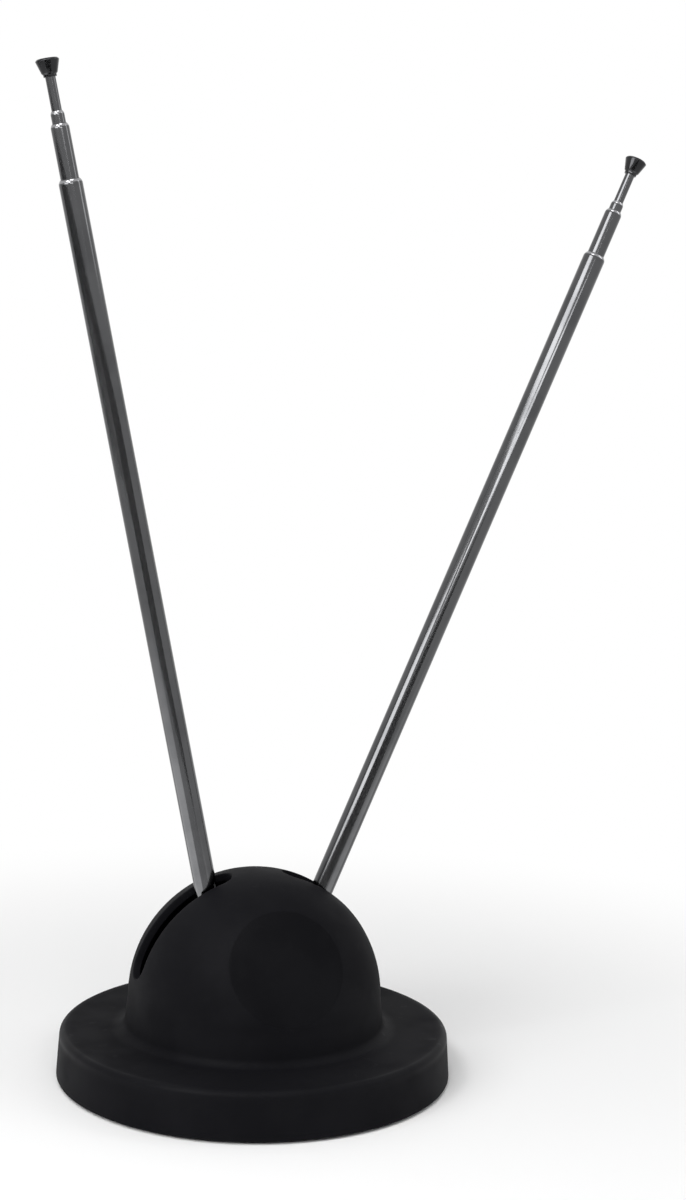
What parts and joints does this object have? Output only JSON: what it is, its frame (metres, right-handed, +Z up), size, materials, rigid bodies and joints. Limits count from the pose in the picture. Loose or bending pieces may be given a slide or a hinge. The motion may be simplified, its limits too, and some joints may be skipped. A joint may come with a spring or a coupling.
{
  "type": "portable tv antenna",
  "caption": "Table-top television antenna: a weighted black base with a slotted dome, and chromed telescopic rods that lean in the slots and pull out in stages.",
  "frame": {"origin": "middle of the foot pad's underside, on the surface that the antenna stands on", "axes": "+Z up, -Y to the front, where the dome has its flat field, the rods lean in the plane y = 0"},
  "size_m": [0.1947, 0.122, 0.3052],
  "materials": {
    "housing_plastic": "fine-grained black moulding",
    "cover_plastic": "black moulding",
    "foot_rubber": "foamed rubber sheet",
    "ballast_steel": "plain cut plate",
    "plated_steel": "zinc plated",
    "carrier_plastic": "black moulding",
    "board_laminate": "phenolic board",
    "core_ferrite": "sintered ferrite",
    "tag_brass": "tinned",
    "lead_insulation": "insulated wire",
    "rod_chrome": "dark chrome plate",
    "cap_chrome": "dark chrome plate, turned",
    "sleeve_bronze": "spring bronze"
  },
  "bodies": {
    "base": {"housing_shell": "housing_plastic", "bottom_cover": "cover_plastic", "cover_screws": "plated_steel", "foot_pad": "foot_rubber", "ballast_plate": "ballast_steel", "pivot_carrier": "carrier_plastic", "carrier_screws": "plated_steel", "balun_board": "board_laminate", "balun_core": "core_ferrite", "left_pivot_screw": "plated_steel", "left_pivot_nut": "plated_steel", "left_spring_washer": "plated_steel", "left_plain_washer": "plated_steel", "left_solder_tag": "tag_brass", "left_lead": "lead_insulation", "right_pivot_screw": "plated_steel", "right_pivot_nut": "plated_steel", "right_spring_washer": "plated_steel", "right_plain_washer": "plated_steel", "right_solder_tag": "tag_brass", "right_lead": "lead_insulation"},
    "left_rod": {"left_rod_foot": "rod_chrome", "left_outer_tube": "rod_chrome"},
    "left_second_section": {"left_second_tube": "rod_chrome", "left_second_sleeve": "sleeve_bronze"},
    "left_third_section": {"left_third_tube": "rod_chrome", "left_third_sleeve": "sleeve_bronze"},
    "left_tip_section": {"left_tip_rod": "rod_chrome", "left_tip_sleeve": "sleeve_bronze", "left_tip_cap": "cap_chrome"},
    "right_rod": {"right_rod_foot": "rod_chrome", "right_outer_tube": "rod_chrome"},
    "right_second_section": {"right_second_tube": "rod_chrome", "right_second_sleeve": "sleeve_bronze"},
    "right_third_section": {"right_third_tube": "rod_chrome", "right_third_sleeve": "sleeve_bronze"},
    "right_tip_section": {"right_tip_rod": "rod_chrome", "right_tip_sleeve": "sleeve_bronze", "right_tip_cap": "cap_chrome"}
  },
  "joints": [
    {"name": "left_lean", "type": "hinge", "parent": "base", "child": "left_rod", "pos_m": [-0.0105, 0, 0.032], "axis": [0, -1, 0], "range_deg": [-7.3, 66.2]},
    {"name": "left_second_slide", "type": "slide", "parent": "left_rod", "child": "left_second_section", "axis": [-0.2045, 0, 0.9789], "range_m": [-0.0006, 0.2134]},
    {"name": "left_third_slide", "type": "slide", "parent": "left_second_section", "child": "left_third_section", "axis": [-0.2045, 0, 0.9789], "range_m": [-0.0006, 0.2274]},
    {"name": "left_tip_slide", "type": "slide", "parent": "left_third_section", "child": "left_tip_section", "axis": [-0.2045, 0, 0.9789], "range_m": [0, 0.23]},
    {"name": "right_lean", "type": "hinge", "parent": "base", "child": "right_rod", "pos_m": [0.0105, 0, 0.032], "axis": [0, 1, 0], "range_deg": [-18.95, 54.55]},
    {"name": "right_second_slide", "type": "slide", "parent": "right_rod", "child": "right_second_section", "axis": [0.3979, 0, 0.9174], "range_m": [0, 0.214]},
    {"name": "right_third_slide", "type": "slide", "parent": "right_second_section", "child": "right_third_section", "axis": [0.3979, 0, 0.9174], "range_m": [0, 0.228]},
    {"name": "right_tip_slide", "type": "slide", "parent": "right_third_section", "child": "right_tip_section", "axis": [0.3979, 0, 0.9174], "range_m": [0, 0.23]}
  ]
}
